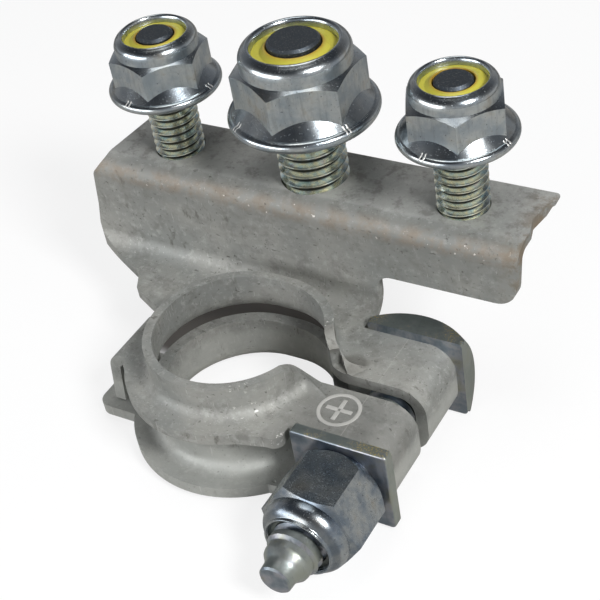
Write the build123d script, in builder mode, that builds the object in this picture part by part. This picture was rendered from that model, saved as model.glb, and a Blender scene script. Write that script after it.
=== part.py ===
"""Pressed battery terminal clamp with a bracket that carries three cable studs.

Millimetres, +Z up. The origin is on the axis of the post bore, at the height of the pinch bolt.
+X runs along the bracket towards the pinch bolt, and +Y runs back to the bracket.
"""

from build123d import *
from dataclasses import dataclass
from math import asin, cos, degrees, pi
import os

os.makedirs("parts", exist_ok=True)

# ---------------------------------------------------------------- sheet and folded clamp
SHEET = 1.4                      # thickness of the pressed sheet
LEAF_TOP = 4.5                   # outer face of the upper leaf; the lower leaf mirrors it
FOLD_X = 22.65                   # outer face of the fold that joins the two leaves
FOLD_RADIUS = 3.2                # outer radius of the fold's corners
ARM_FRONT_Y = -8.1               # front edge of the arms, where the washer bears
ARM_REAR_Y = 8.9                 # rear edge of the arms, where the bolt head bears
ARM_ROOT_X = 11.5                # the arms start from the leaves here
SLOT_FRONT_Y = -0.7              # the slot that lets the ring close
SLOT_REAR_Y = 1.35
SLOT_FRONT_FILLET = 1.8          # corner between the bore and the slot, front side
SLOT_REAR_FILLET = 4.0           # the same on the rear side

# ---------------------------------------------------------------- ring and its two collars
BORE_RADIUS = 8.9                # grips the battery post
BORE_SPREAD = 1.7                # the rear quarter beside the slot is spread this far along X
UPPER_RING_RADIUS = 12.8
LOWER_RING_RADIUS = 13.4
UPPER_RIM_Z = 8.37               # top of the upper collar
LOWER_RIM_Z = 1.8                # top of the lower collar
UPPER_WALL = 1.05                # the upper collar is drawn thinner than the sheet
LOWER_WALL = 1.4
UPPER_COLLAR_FILLET = 1.3
LOWER_COLLAR_FILLET = 1.5
UPPER_BORE_ROLL = 2.4            # rolled lower edge inside each collar
LOWER_BORE_ROLL = 2.0
# where each end of a collar starts to sink (x, y), which way it runs, (run, share of height)
# pairs down to the leaf, and how far the cut reaches to either side
REAR_LIP = ((9.3, 4.3), (0.8, -0.6), [(0, 1.02), (0.7, 1), (1.9, 0.8), (3.3, 0.44), (4.5, 0.13), (5.4, 0)], (2.2, 5))
FRONT_LIP = ((8.2, -3.9), (0.71, 0.71), [(0, 1.02), (1.3, 0.85), (2.5, 0.48), (3.5, 0.17), (4.4, 0)], (5, 2.2))
LIP_END_X = 13.9                 # where the lips of the collars die into the arms

# ---------------------------------------------------------------- bracket
FLANGE_TOP = 17.27
FLANGE_REAR_Y = 23.3
WEB_FRONT_Y = 12.75
TOP_BEND_RADIUS = 2.4            # outer radius of the bend between flange and web
FOOT_BEND_RADIUS = 2.0           # inner radius of the bend between web and leaf
BRACKET_LEFT_X = -27.6
FLANGE_LEFT_X = -24.6
# front view of the web's left edge: x, z and corner radius, down to the foot
WEB_LEFT_EDGE = [(-24.6, 17.1, 1.0), (-26.4, 15.0, 1.5), (-27.0, 10.2, 1.5), (BRACKET_LEFT_X, 7.2, 1.0)]
WING_REAR = (-19.5, 8.6)         # the leaf's left wing is cut along here from the web's foot
WING_CORNER_X = -18.0            # front corner of the leaf's left wing
WING_CORNER_Y = 5.9
BRACKET_RIGHT_X = 29.1
WEB_FREE_EDGE_Z = 9.2            # lower edge of the web beyond the neck
WEB_CORNER_RADIUS = 2.6
NECK_RIGHT_X = 11.5
NECK_FILLET = 2.0

# ---------------------------------------------------------------- leg and tab on the left
EAR_X = 10.9                     # small ear beside the washer
EAR_Y = -10.2
LEG_X = -14.4                    # outer corner of the leg that hangs from the upper leaf
LEG_FOOT_X = -15.4               # the leg leans out to here at its foot
LEG_FRONT_Y = -5.0
LEG_REAR_Y = 2.4
LEG_BEND_RADIUS = 2.4
LEG_GAP = 0.15                   # the leg stops just above the lower leaf
TAB_X = -17.2
TAB_FRONT_Y = -6.5
TAB_REAR_Y = 3.6

# ---------------------------------------------------------------- studs and flange nuts
STUD_Y = 18.25
STUD_SPACING = 18.55
STUD_MIDDLE_X = 2.0
RING_CLEARANCE = 0.03            # between a locking ring and the nut around it
CROWN_SLOPE = 0.6                # rise of the chamfer on a hex's corners
SEAT_CHAMFER = 1.1               # width and height of the cone at a plain nut's seat
SEAT_CHAMFER_HEIGHT = 1.4
STUD_HOLE_CLEARANCE = 0.03
STUD_HEAD_THICKNESS = 2.0
STUD_HEAD_WIDTH_RATIO = 1.6      # width of the head over the stud's diameter
STUD_HEAD_WEB_GAP = 0.1          # the head's flat stands just behind the web
STUD_HEAD_SETBACK = 1.0          # from the flange's rear edge
STUD_HEAD_ROUND = 1.2
STUD_HEAD_CHAMFER = 1.0          # clears the inside of the top bend

POINT_CHAMFER = 0.3              # at the end of each stud's plain point
POINT_SHOULDER = 0.35            # height of the cone between the thread and the point

# name, x, stud radius, radius and length of its plain point, end height, nut height above the flange
STUDS = [
    ("left", STUD_MIDDLE_X - STUD_SPACING, 2.95, 2.1, 2.2, 15.3, 8.3),
    ("middle", STUD_MIDDLE_X, 3.95, 2.95, 2.9, 17.4, 8.1),
    ("right", STUD_MIDDLE_X + STUD_SPACING, 2.95, 2.1, 2.1, 15.7, 8.8),
]


@dataclass
class NutSize:
    """A hex nut with a collar rolled over its locking ring; heights are from its seat."""

    across_flats: float
    bore_radius: float
    flange_radius: float         # zero for a nut with no flange
    flange_edge: float           # thickness of the flange at its rim
    cone_radius: float           # where the flange's cone meets the hex
    cone_height: float
    hex_height: float
    collar_radius: float
    roll_start: float            # where the collar starts to roll inwards
    roll_radius: float           # radius of the highest circle of the roll
    height: float
    lip_radius: float            # opening in the rolled lip
    ring_radius: float           # locking ring
    ring_bottom: float
    ring_top: float


M6_FLANGE_NUT = NutSize(
    across_flats=10.0, bore_radius=3.0, flange_radius=6.6, flange_edge=1.1, cone_radius=5.0,
    cone_height=2.3, hex_height=5.2, collar_radius=4.8, roll_start=5.9, roll_radius=4.0,
    height=7.1, lip_radius=3.55, ring_radius=4.0, ring_bottom=4.8, ring_top=6.3,
)
M8_FLANGE_NUT = NutSize(
    across_flats=13.0, bore_radius=4.0, flange_radius=8.55, flange_edge=1.35, cone_radius=6.5,
    cone_height=2.9, hex_height=6.6, collar_radius=6.25, roll_start=7.6, roll_radius=5.3,
    height=9.0, lip_radius=4.7, ring_radius=5.3, ring_bottom=6.2, ring_top=8.1,
)
PINCH_NUT = NutSize(
    across_flats=10.0, bore_radius=3.0, flange_radius=0, flange_edge=0, cone_radius=0,
    cone_height=0, hex_height=7.3, collar_radius=4.85, roll_start=7.5, roll_radius=3.85,
    height=9.4, lip_radius=3.4, ring_radius=3.85, ring_bottom=6.8, ring_top=8.8,
)
# angle of one corner of each hex
NUT_TURN = {"left": -74.5, "middle": -86.5, "right": -64.7, "pinch": -6.0}

# ---------------------------------------------------------------- pinch bolt
PINCH_X = 17.8
PINCH_RADIUS = 2.95
HEAD_WIDTH = 11.6
HEAD_TALL = 10.6
HEAD_OFFSET_Z = 0.3              # the head stands a little above the bolt's axis
HEAD_PLATE = 1.1                 # thickness of the head's corners
HEAD_CROWN = 4.5                 # thickness of the head at the middle of its dome
HEAD_DOME_BASE = 7.6             # radius of the dome where it leaves the plate
WASHER_WIDTH = 11.4
WASHER_TALL = 10.6
WASHER_OFFSET = (0.1, 0.35)      # the washer hangs a little to the right, and stands higher
WASHER_THICKNESS = 1.25
WASHER_HOLE_RADIUS = 3.4
PLATE_CORNER_ROUND = 0.5
PLATE_EDGE_ROUND = 0.25
SEAT_BORE_CHAMFER = 0.4
THREAD_END_Y = -19.8
NOSE_RADIUS = 2.6                # the nose starts here, past the end of the thread
NOSE_MIDDLE = (2.5, -21.8)       # radius and place of a point half way along the nose
TIP_END_Y = -23.8
TIP_RADIUS = 2.2
TIP_CHAMFER = 0.45


def rounded_outline(*corners):
    """A closed outline from its corners, each given as (across, up, corner radius)."""
    with BuildSketch() as sketch:
        with BuildLine():
            FilletPolyline(
                [(across, up) for across, up, radius in corners],
                radius=[radius for across, up, radius in corners],
                close=True,
            )
        make_face()
    return sketch.sketch


def bent_strip(outer_points, inner_points, outer_radii, inner_radii):
    """The section of a bent strip of sheet, between its outer and its inner line."""
    with BuildSketch() as sketch:
        with BuildLine():
            outer = FilletPolyline(outer_points, radius=outer_radii)
            inner = FilletPolyline(inner_points, radius=inner_radii)
            Line(outer @ 0, inner @ 0)
            Line(outer @ 1, inner @ 1)
        make_face()
    return sketch.sketch


def spans(shape, low, high):
    """Whether a face or edge reaches exactly from one height to the other."""
    box = shape.bounding_box()
    return abs(box.min.Z - low) < 0.01 and abs(box.max.Z - high) < 0.01


# ---------------------------------------------------------------- plan of the bore and slot
with BuildSketch() as bore:
    Circle(BORE_RADIUS)
    with BuildLine():
        Line((BORE_SPREAD, 0), (0, 0))
        Line((0, 0), (0, BORE_RADIUS))
        Line((0, BORE_RADIUS), (BORE_SPREAD, BORE_RADIUS))
        CenterArc((BORE_SPREAD, 0), BORE_RADIUS, 0, 90)
        Line((BORE_SPREAD + BORE_RADIUS, 0), (BORE_SPREAD, 0))
    make_face()

with BuildSketch() as bore_and_slot:
    add(bore.sketch)
    with Locations((0, SLOT_FRONT_Y)):
        Rectangle(FOLD_X + SHEET, SLOT_REAR_Y - SLOT_FRONT_Y, align=(Align.MIN, Align.MIN))
    for slot_y, radius in ((SLOT_REAR_Y, SLOT_REAR_FILLET), (SLOT_FRONT_Y, SLOT_FRONT_FILLET)):
        mouth = bore_and_slot.vertices().filter_by(lambda v: abs(v.Y - slot_y) < 0.01)
        fillet(mouth.sort_by(Axis.X)[0], radius)


def collar_plan(wall):
    """Outline of a collar: the bore and slot widened by the wall, stopped where its lips end."""
    with BuildSketch() as plan:
        add(bore_and_slot.sketch)
        offset(amount=wall)
        with Locations((LIP_END_X, 0)):
            Rectangle(FOLD_X, 4 * BORE_RADIUS, align=(Align.MIN, Align.CENTER), mode=Mode.SUBTRACT)
    return plan.sketch


def rolled_edge(centre, wall_radius, start_turn, turn, underside_z, roll):
    """The ring that rounds off a wall's lower edge, about an upright axis through the centre."""
    x_dir = Vector(1, 0, 0).rotate(Axis.Z, start_turn)
    section_plane = Plane(origin=(*centre, underside_z), x_dir=x_dir, z_dir=x_dir.cross(Vector(0, 0, 1)))
    far = wall_radius + roll
    with BuildPart() as ring:
        with BuildSketch(section_plane):
            with BuildLine():
                Line((far, 0), (wall_radius, 0))
                Line((wall_radius, 0), (wall_radius, roll))
                RadiusArc((wall_radius, roll), (far, 0), -roll)
            make_face()
        revolve(axis=Axis((*centre, 0), (0, 0, 1)), revolution_arc=turn)
    return ring.part


# ---------------------------------------------------------------- clamp body, one folded sheet
with BuildPart() as clamp_body:
    # bracket seen from its end: flange, web and the leaf at its foot in one bent run
    with BuildSketch(Plane.YZ.offset(BRACKET_LEFT_X - 1)):
        add(
            bent_strip(
                [
                    (FLANGE_REAR_Y, FLANGE_TOP),
                    (WEB_FRONT_Y, FLANGE_TOP),
                    (WEB_FRONT_Y, LEAF_TOP),
                    (-UPPER_RING_RADIUS - 1, LEAF_TOP),
                ],
                [
                    (FLANGE_REAR_Y, FLANGE_TOP - SHEET),
                    (WEB_FRONT_Y + SHEET, FLANGE_TOP - SHEET),
                    (WEB_FRONT_Y + SHEET, LEAF_TOP - SHEET),
                    (-UPPER_RING_RADIUS - 1, LEAF_TOP - SHEET),
                ],
                [TOP_BEND_RADIUS, FOOT_BEND_RADIUS],
                [TOP_BEND_RADIUS - SHEET, FOOT_BEND_RADIUS + SHEET],
            )
        )
    extrude(amount=BRACKET_RIGHT_X - BRACKET_LEFT_X + 4)

    # front view: the web's left edge, the neck, and the free end of the web
    with BuildSketch(Plane.XZ.offset(UPPER_RING_RADIUS + 2)):
        add(
            rounded_outline(
                (FLANGE_LEFT_X, FLANGE_TOP + 1, 0),
                *WEB_LEFT_EDGE,
                (BRACKET_LEFT_X, 0, 0),
                (NECK_RIGHT_X, 0, 0),
                (NECK_RIGHT_X, WEB_FREE_EDGE_Z, NECK_FILLET),
                (BRACKET_RIGHT_X - 0.6, WEB_FREE_EDGE_Z, WEB_CORNER_RADIUS),
                (BRACKET_RIGHT_X, FLANGE_TOP - 0.5, 0),
                (BRACKET_RIGHT_X + 3, FLANGE_TOP + 1, 0),
            )
        )
    extrude(amount=-(UPPER_RING_RADIUS + FLANGE_REAR_Y + 4), mode=Mode.INTERSECT)

    # plan view: the sheared ends of the flange, and the outline of the upper leaf
    with BuildSketch(Plane.XY):
        add(
            rounded_outline(
                (BRACKET_LEFT_X - 1, WEB_FRONT_Y, 0),
                (FLANGE_LEFT_X, WEB_FRONT_Y + 2, 0),
                (FLANGE_LEFT_X + 0.7, FLANGE_REAR_Y, 1.2),
                (BRACKET_RIGHT_X + 0.7, FLANGE_REAR_Y, 0.6),
                (BRACKET_RIGHT_X + 0.8, FLANGE_REAR_Y - 2.1, 0.3),
                (BRACKET_RIGHT_X - 0.1, FLANGE_REAR_Y - 2.6, 0.2),
                (BRACKET_RIGHT_X - 0.5, FLANGE_REAR_Y - 5.2, 0.5),
                (BRACKET_RIGHT_X + 0.1, FLANGE_REAR_Y - 7.4, 0.5),
                (BRACKET_RIGHT_X, WEB_FRONT_Y, 0),
            )
        )
        add(
            rounded_outline(
                (BRACKET_LEFT_X, WEB_FRONT_Y, 0),
                (*WING_REAR, 1.5),
                (WING_CORNER_X, WING_CORNER_Y, 0.8),
                (LEG_X + 1.4, WING_CORNER_Y - 2.5, 0.5),
                (LEG_X + LEG_BEND_RADIUS, LEG_REAR_Y, 0),
                (LEG_X + LEG_BEND_RADIUS, LEG_FRONT_Y, 0),
                (-11.4, -6.3, 0),
                (-8.5, -9.2, 0),
                (-6.5, LEG_FRONT_Y, 0),
                (0, -BORE_RADIUS, 0),
                (5.0, -11.4, 2.0),
                (EAR_X - 1.2, EAR_Y - 0.1, 0.5),
                (EAR_X + 0.4, EAR_Y, 1.1),
                (EAR_X + 0.4, ARM_FRONT_Y, 0),
                (NECK_RIGHT_X + 2, ARM_FRONT_Y, 0),
                (NECK_RIGHT_X + 2, ARM_REAR_Y, 0),
                (NECK_RIGHT_X, ARM_REAR_Y, 0.5),
                (NECK_RIGHT_X, WEB_FRONT_Y, 0),
            )
        )
        Circle(UPPER_RING_RADIUS)
    extrude(amount=FLANGE_TOP + 1, mode=Mode.INTERSECT)

    # arms and the fold that joins the upper leaf to the lower one
    with BuildSketch(Plane.XZ.offset(-ARM_FRONT_Y)):
        add(
            bent_strip(
                [
                    (ARM_ROOT_X, LEAF_TOP),
                    (FOLD_X, LEAF_TOP),
                    (FOLD_X, -LEAF_TOP),
                    (ARM_ROOT_X, -LEAF_TOP),
                ],
                [
                    (ARM_ROOT_X, LEAF_TOP - SHEET),
                    (FOLD_X - SHEET, LEAF_TOP - SHEET),
                    (FOLD_X - SHEET, SHEET - LEAF_TOP),
                    (ARM_ROOT_X, SHEET - LEAF_TOP),
                ],
                [FOLD_RADIUS, FOLD_RADIUS],
                [FOLD_RADIUS - SHEET, FOLD_RADIUS - SHEET],
            )
        )
    extrude(amount=-(ARM_REAR_Y - ARM_FRONT_Y))

    # lower leaf with the tab that the leg comes down on
    with BuildSketch(Plane.XY.offset(-LEAF_TOP)):
        Circle(LOWER_RING_RADIUS)
        add(
            rounded_outline(
                (TAB_X, TAB_FRONT_Y, 1.6),
                (-5, TAB_FRONT_Y, 0),
                (-5, TAB_REAR_Y, 0),
                (TAB_X, TAB_REAR_Y, 1.6),
            )
        )
        add(
            rounded_outline(
                (5, -10.6, 0),
                (BORE_RADIUS + 2.2, -10.0, 1.2),
                (BORE_RADIUS + 3.2, ARM_FRONT_Y, 0),
                (BORE_RADIUS + 3.2, ARM_REAR_Y, 0),
                (5, ARM_REAR_Y, 0),
            )
        )
    extrude(amount=SHEET)

    # leg that hangs from the left of the upper leaf
    with BuildSketch(Plane.XZ.offset(-LEG_FRONT_Y)):
        leg_end_z = SHEET - LEAF_TOP + LEG_GAP
        add(
            bent_strip(
                [(-BORE_RADIUS - 1, LEAF_TOP), (LEG_X, LEAF_TOP), (LEG_FOOT_X, leg_end_z)],
                [
                    (-BORE_RADIUS - 1, LEAF_TOP - SHEET),
                    (LEG_X + 0.85 * SHEET, LEAF_TOP - SHEET),
                    (LEG_FOOT_X + SHEET, leg_end_z),
                ],
                [LEG_BEND_RADIUS],
                [LEG_BEND_RADIUS - SHEET],
            )
        )
    extrude(amount=-(LEG_REAR_Y - LEG_FRONT_Y))

    # collars drawn up out of both leaves
    with BuildSketch(Plane.XY.offset(LEAF_TOP - SHEET)):
        add(collar_plan(UPPER_WALL))
    extrude(amount=UPPER_RIM_Z - LEAF_TOP + SHEET)
    with BuildSketch(Plane.XY.offset(-LEAF_TOP)):
        add(collar_plan(LOWER_WALL))
    extrude(amount=LOWER_RIM_Z + LEAF_TOP)

    add(clamp_body.part.clean(), mode=Mode.REPLACE)

    # the sheet flows into the collars through a fillet
    for leaf_z, rim_z, radius in (
        (SHEET - LEAF_TOP, LOWER_RIM_Z, LOWER_COLLAR_FILLET),
        (LEAF_TOP, UPPER_RIM_Z, UPPER_COLLAR_FILLET),
    ):
        walls = clamp_body.faces().filter_by(lambda face: spans(face, leaf_z, rim_z))
        feet = walls.edges().filter_by(lambda edge: spans(edge, leaf_z, leaf_z))
        fillet(feet, radius)

    # bore and slot, then the rolled lower edge of each collar
    with BuildSketch(Plane.XY.offset(-LEAF_TOP)):
        add(bore_and_slot.sketch)
    extrude(amount=UPPER_RIM_Z + LEAF_TOP, mode=Mode.SUBTRACT)
    rear_corner_y = SLOT_REAR_Y + SLOT_REAR_FILLET
    rear_corner_reach = BORE_RADIUS + SLOT_REAR_FILLET
    rear_turn = degrees(asin(rear_corner_y / rear_corner_reach))
    front_corner_y = SLOT_FRONT_Y - SLOT_FRONT_FILLET
    front_turn = degrees(asin(-front_corner_y / (BORE_RADIUS + SLOT_FRONT_FILLET)))
    for underside_z, roll in ((LEAF_TOP - SHEET, UPPER_BORE_ROLL), (-LEAF_TOP, LOWER_BORE_ROLL)):
        about_bore = rolled_edge((0, 0), BORE_RADIUS, 90, 270 - front_turn, underside_z, roll)
        add(about_bore, mode=Mode.SUBTRACT)
        about_spread = rolled_edge(
            (BORE_SPREAD, 0), BORE_RADIUS, rear_turn, 90 - rear_turn, underside_z, roll
        )
        add(about_spread, mode=Mode.SUBTRACT)
        with BuildSketch(Plane.YZ):
            with BuildLine():
                Line((BORE_RADIUS + roll, underside_z), (BORE_RADIUS, underside_z))
                Line((BORE_RADIUS, underside_z), (BORE_RADIUS, underside_z + roll))
                RadiusArc((BORE_RADIUS, underside_z + roll), (BORE_RADIUS + roll, underside_z), -roll)
            make_face()
        extrude(amount=BORE_SPREAD, mode=Mode.SUBTRACT)

    # both ends of each collar sink into the arms beside the slot
    for start, direction, fall, reach in (REAR_LIP, FRONT_LIP):
        across = Plane(
            origin=(*start, 0),
            x_dir=(*direction, 0),
            z_dir=Vector(*direction, 0).cross(Vector(0, 0, 1)),
        )
        for leaf_z, rim_z in ((LEAF_TOP, UPPER_RIM_Z), (SHEET - LEAF_TOP, LOWER_RIM_Z)):
            heights = [(run, leaf_z + share * (rim_z - leaf_z)) for run, share in fall]
            with BuildSketch(across) as above_lip:
                with BuildLine():
                    slope = Spline(heights)
                    Polyline(
                        slope @ 1,
                        (heights[-1][0] + 3, leaf_z),
                        (heights[-1][0] + 3, rim_z + 1),
                        (heights[0][0], rim_z + 1),
                        slope @ 0,
                    )
                make_face()
            extrude(amount=reach[0], mode=Mode.SUBTRACT)
            extrude(above_lip.sketch, amount=-reach[1], mode=Mode.SUBTRACT)

    # holes that the studs are pressed into
    for name, stud_x, stud_radius, *_ in STUDS:
        with Locations((stud_x, STUD_Y, FLANGE_TOP - SHEET / 2)):
            Cylinder(stud_radius + STUD_HOLE_CLEARANCE, 2 * SHEET, mode=Mode.SUBTRACT)

clamp_body.part.label = "clamp_body"
export_step(clamp_body.part, "parts/clamp_body.step")


# ---------------------------------------------------------------- studs pressed into the flange
def make_stud(stud_x, radius, point_radius, point_length, end_height):
    """A stud, threaded up to its plain point, whose flat-sided head stands behind the web."""
    head_top = FLANGE_TOP - SHEET
    head_front = WEB_FRONT_Y + SHEET + STUD_HEAD_WEB_GAP
    head_rear = FLANGE_REAR_Y - STUD_HEAD_SETBACK
    with BuildPart() as stud:
        with BuildSketch(Plane.XY.offset(head_top)):
            with Locations((stud_x, (head_front + head_rear) / 2)):
                head_width = 2 * radius * STUD_HEAD_WIDTH_RATIO
                RectangleRounded(head_width, head_rear - head_front, STUD_HEAD_ROUND)
        extrude(amount=-STUD_HEAD_THICKNESS)
        top_edges = stud.faces().sort_by(Axis.Z)[-1].edges()
        chamfer(top_edges.filter_by(Axis.X).sort_by(Axis.Y)[0], STUD_HEAD_CHAMFER)
        with BuildSketch(Plane.XY.offset(head_top - STUD_HEAD_THICKNESS / 2)):
            with Locations((stud_x, STUD_Y)):
                Circle(radius)
        extrude(amount=STUD_HEAD_THICKNESS / 2 + SHEET + end_height - point_length)
        with BuildSketch(Plane.XZ.offset(-STUD_Y)):
            thread_end_z = FLANGE_TOP + end_height - point_length
            end_z = FLANGE_TOP + end_height
            with BuildLine():
                Polyline(
                    (stud_x, thread_end_z),
                    (stud_x + radius, thread_end_z),
                    (stud_x + point_radius, thread_end_z + POINT_SHOULDER),
                    (stud_x + point_radius, end_z - POINT_CHAMFER),
                    (stud_x + point_radius - POINT_CHAMFER, end_z),
                    (stud_x, end_z),
                    close=True,
                )
            make_face()
        revolve(axis=Axis((stud_x, STUD_Y, 0), (0, 0, 1)))
    return stud.part


# ---------------------------------------------------------------- locking nuts
def make_nut(size, corner_angle):
    """A nut on the Z axis with its seat at the origin."""
    corner_radius = size.across_flats / 2 / cos(pi / 6)
    with BuildPart() as nut:
        with BuildSketch():
            RegularPolygon(corner_radius, 6, rotation=corner_angle)
        extrude(amount=size.hex_height)
        # the crown, and the seat of a nut with no flange, are turned to cones
        if size.flange_radius:
            seat_corner = [(corner_radius, 0)]
        else:
            seat_corner = [(corner_radius - SEAT_CHAMFER, 0), (corner_radius, SEAT_CHAMFER_HEIGHT)]
        crown_drop = (corner_radius - size.collar_radius) * CROWN_SLOPE
        with BuildSketch(Plane.XZ):
            with BuildLine():
                Polyline(
                    (0, 0),
                    *seat_corner,
                    (corner_radius, size.hex_height - crown_drop),
                    (size.collar_radius, size.hex_height),
                    (0, size.hex_height),
                    close=True,
                )
            make_face()
        revolve(axis=Axis.Z, mode=Mode.INTERSECT)
        if size.flange_radius:
            rim_centre = size.flange_radius - size.flange_edge / 2
            with BuildSketch(Plane.XZ):
                with BuildLine():
                    Line((0, 0), (rim_centre, 0))
                    rim = ThreePointArc(
                        (rim_centre, 0),
                        (size.flange_radius, size.flange_edge / 2),
                        (rim_centre, size.flange_edge),
                    )
                    Polyline(
                        rim @ 1,
                        (size.cone_radius, size.cone_height),
                        (0, size.cone_height),
                        (0, 0),
                    )
                make_face()
            revolve(axis=Axis.Z)
        # collar that rolls inwards over the locking ring
        with BuildSketch(Plane.XZ):
            with BuildLine():
                Line((0, size.hex_height - 1), (size.collar_radius, size.hex_height - 1))
                Line((size.collar_radius, size.hex_height - 1), (size.collar_radius, size.roll_start))
                roll = JernArc(
                    (size.collar_radius, size.roll_start), (0, 1), size.height - size.roll_start, 60
                )
                Spline(
                    roll @ 1,
                    (size.roll_radius, size.height),
                    (size.lip_radius, size.ring_top),
                    tangents=[roll % 1, (0, -1)],
                )
                Polyline((size.lip_radius, size.ring_top), (0, size.ring_top), (0, size.hex_height - 1))
            make_face()
        revolve(axis=Axis.Z)
        # bore, and the recess of the locking ring
        with BuildSketch():
            Circle(size.bore_radius)
        extrude(amount=size.height, mode=Mode.SUBTRACT)
        with BuildSketch(Plane.XY.offset(size.ring_bottom)):
            Circle(size.ring_radius)
        extrude(amount=size.ring_top - size.ring_bottom, mode=Mode.SUBTRACT)
        with BuildSketch(Plane.XY.offset(size.ring_bottom)):
            Circle(size.lip_radius)
        extrude(amount=size.height, mode=Mode.SUBTRACT)
        bore_ends = nut.edges().filter_by(GeomType.CIRCLE)
        bore_ends = bore_ends.filter_by(lambda edge: edge.radius < size.bore_radius + 0.01)
        chamfer(bore_ends.sort_by(Axis.Z)[0], SEAT_BORE_CHAMFER)
    return nut.part


def make_locking_ring(size):
    """The nylon ring inside a nut's collar, in the nut's own place."""
    with BuildPart() as ring:
        with BuildSketch(Plane.XY.offset(size.ring_bottom + RING_CLEARANCE)):
            Circle(size.ring_radius - RING_CLEARANCE)
            Circle(size.bore_radius, mode=Mode.SUBTRACT)
        extrude(amount=size.ring_top - size.ring_bottom - 2 * RING_CLEARANCE)
    return ring.part


def write_placed(shape, place, name):
    """Put a finished piece in its place, and write it under its name."""
    with BuildPart() as placed:
        with Locations(place):
            add(shape)
    placed.part.label = name
    export_step(placed.part, f"parts/{name}.step")


for name, stud_x, stud_radius, point_radius, point_length, end_height, nut_height in STUDS:
    stud = make_stud(stud_x, stud_radius, point_radius, point_length, end_height)
    write_placed(stud, Location((0, 0, 0)), f"stud_{name}")
    size = M8_FLANGE_NUT if name == "middle" else M6_FLANGE_NUT
    seat = Location((stud_x, STUD_Y, FLANGE_TOP + nut_height))
    write_placed(make_nut(size, NUT_TURN[name]), seat, f"nut_{name}")
    write_placed(make_locking_ring(size), seat, f"locking_ring_{name}")


# ---------------------------------------------------------------- square washer
with BuildPart() as square_washer:
    with BuildSketch(Plane.XZ.offset(-ARM_FRONT_Y)):
        with Locations((PINCH_X + WASHER_OFFSET[0], WASHER_OFFSET[1])):
            RectangleRounded(WASHER_WIDTH, WASHER_TALL, PLATE_CORNER_ROUND)
        with Locations((PINCH_X, 0)):
            Circle(WASHER_HOLE_RADIUS, mode=Mode.SUBTRACT)
    extrude(amount=WASHER_THICKNESS)
    outline = square_washer.edges().group_by(Axis.Y)[0].filter_by(lambda edge: edge.length > 2)
    fillet(outline.filter_by(GeomType.LINE), PLATE_EDGE_ROUND)
square_washer.part.label = "square_washer"
export_step(square_washer.part, "parts/square_washer.step")

# ---------------------------------------------------------------- pinch bolt
with BuildPart() as pinch_bolt:
    # rectangular head, domed at the back, that bears on the rear edges of the arms
    with BuildSketch(Plane.XZ.offset(-ARM_REAR_Y)):
        with Locations((PINCH_X, HEAD_OFFSET_Z)):
            RectangleRounded(HEAD_WIDTH, HEAD_TALL, PLATE_CORNER_ROUND)
    extrude(amount=-HEAD_PLATE)
    dome_height = HEAD_CROWN - HEAD_PLATE
    dome_radius = (HEAD_DOME_BASE**2 + dome_height**2) / (2 * dome_height)
    with BuildPart(mode=Mode.PRIVATE) as dome:
        with Locations((PINCH_X, ARM_REAR_Y + HEAD_CROWN - dome_radius, HEAD_OFFSET_Z)):
            Sphere(dome_radius)
        with BuildSketch(Plane.XZ.offset(-ARM_REAR_Y - HEAD_PLATE / 2)):
            with Locations((PINCH_X, HEAD_OFFSET_Z)):
                Rectangle(HEAD_WIDTH, HEAD_TALL)
        extrude(amount=-HEAD_CROWN, mode=Mode.INTERSECT)
    add(dome.part)
    # shank and nose
    with BuildSketch():
        with BuildLine():
            Polyline(
                (PINCH_X, TIP_END_Y),
                (PINCH_X, ARM_REAR_Y),
                (PINCH_X + PINCH_RADIUS, ARM_REAR_Y),
                (PINCH_X + PINCH_RADIUS, THREAD_END_Y),
                (PINCH_X + NOSE_RADIUS, THREAD_END_Y - POINT_SHOULDER),
            )
            nose = ThreePointArc(
                (PINCH_X + NOSE_RADIUS, THREAD_END_Y - POINT_SHOULDER),
                (PINCH_X + NOSE_MIDDLE[0], NOSE_MIDDLE[1]),
                (PINCH_X + TIP_RADIUS, TIP_END_Y + TIP_CHAMFER),
            )
            Polyline(nose @ 1, (PINCH_X + TIP_RADIUS - TIP_CHAMFER, TIP_END_Y), (PINCH_X, TIP_END_Y))
        make_face()
    revolve(axis=Axis((PINCH_X, 0, 0), (0, 1, 0)))
pinch_bolt.part.label = "pinch_bolt"
export_step(pinch_bolt.part, "parts/pinch_bolt.step")

# ---------------------------------------------------------------- pinch nut
pinch_seat = Location((PINCH_X, ARM_FRONT_Y - WASHER_THICKNESS, 0), (90, 0, 0))
write_placed(make_nut(PINCH_NUT, NUT_TURN["pinch"]), pinch_seat, "pinch_nut")
write_placed(make_locking_ring(PINCH_NUT), pinch_seat, "pinch_locking_ring")
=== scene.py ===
"""Looks of the battery terminal clamp: plated finishes, cut threads and the sign on its arm.

Metres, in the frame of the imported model: +Z up, +X along the bracket, +Y back to the bracket.
"""

from math import cos, pi, radians, sin, tan

import bpy
from mathutils import Matrix, Vector


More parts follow.
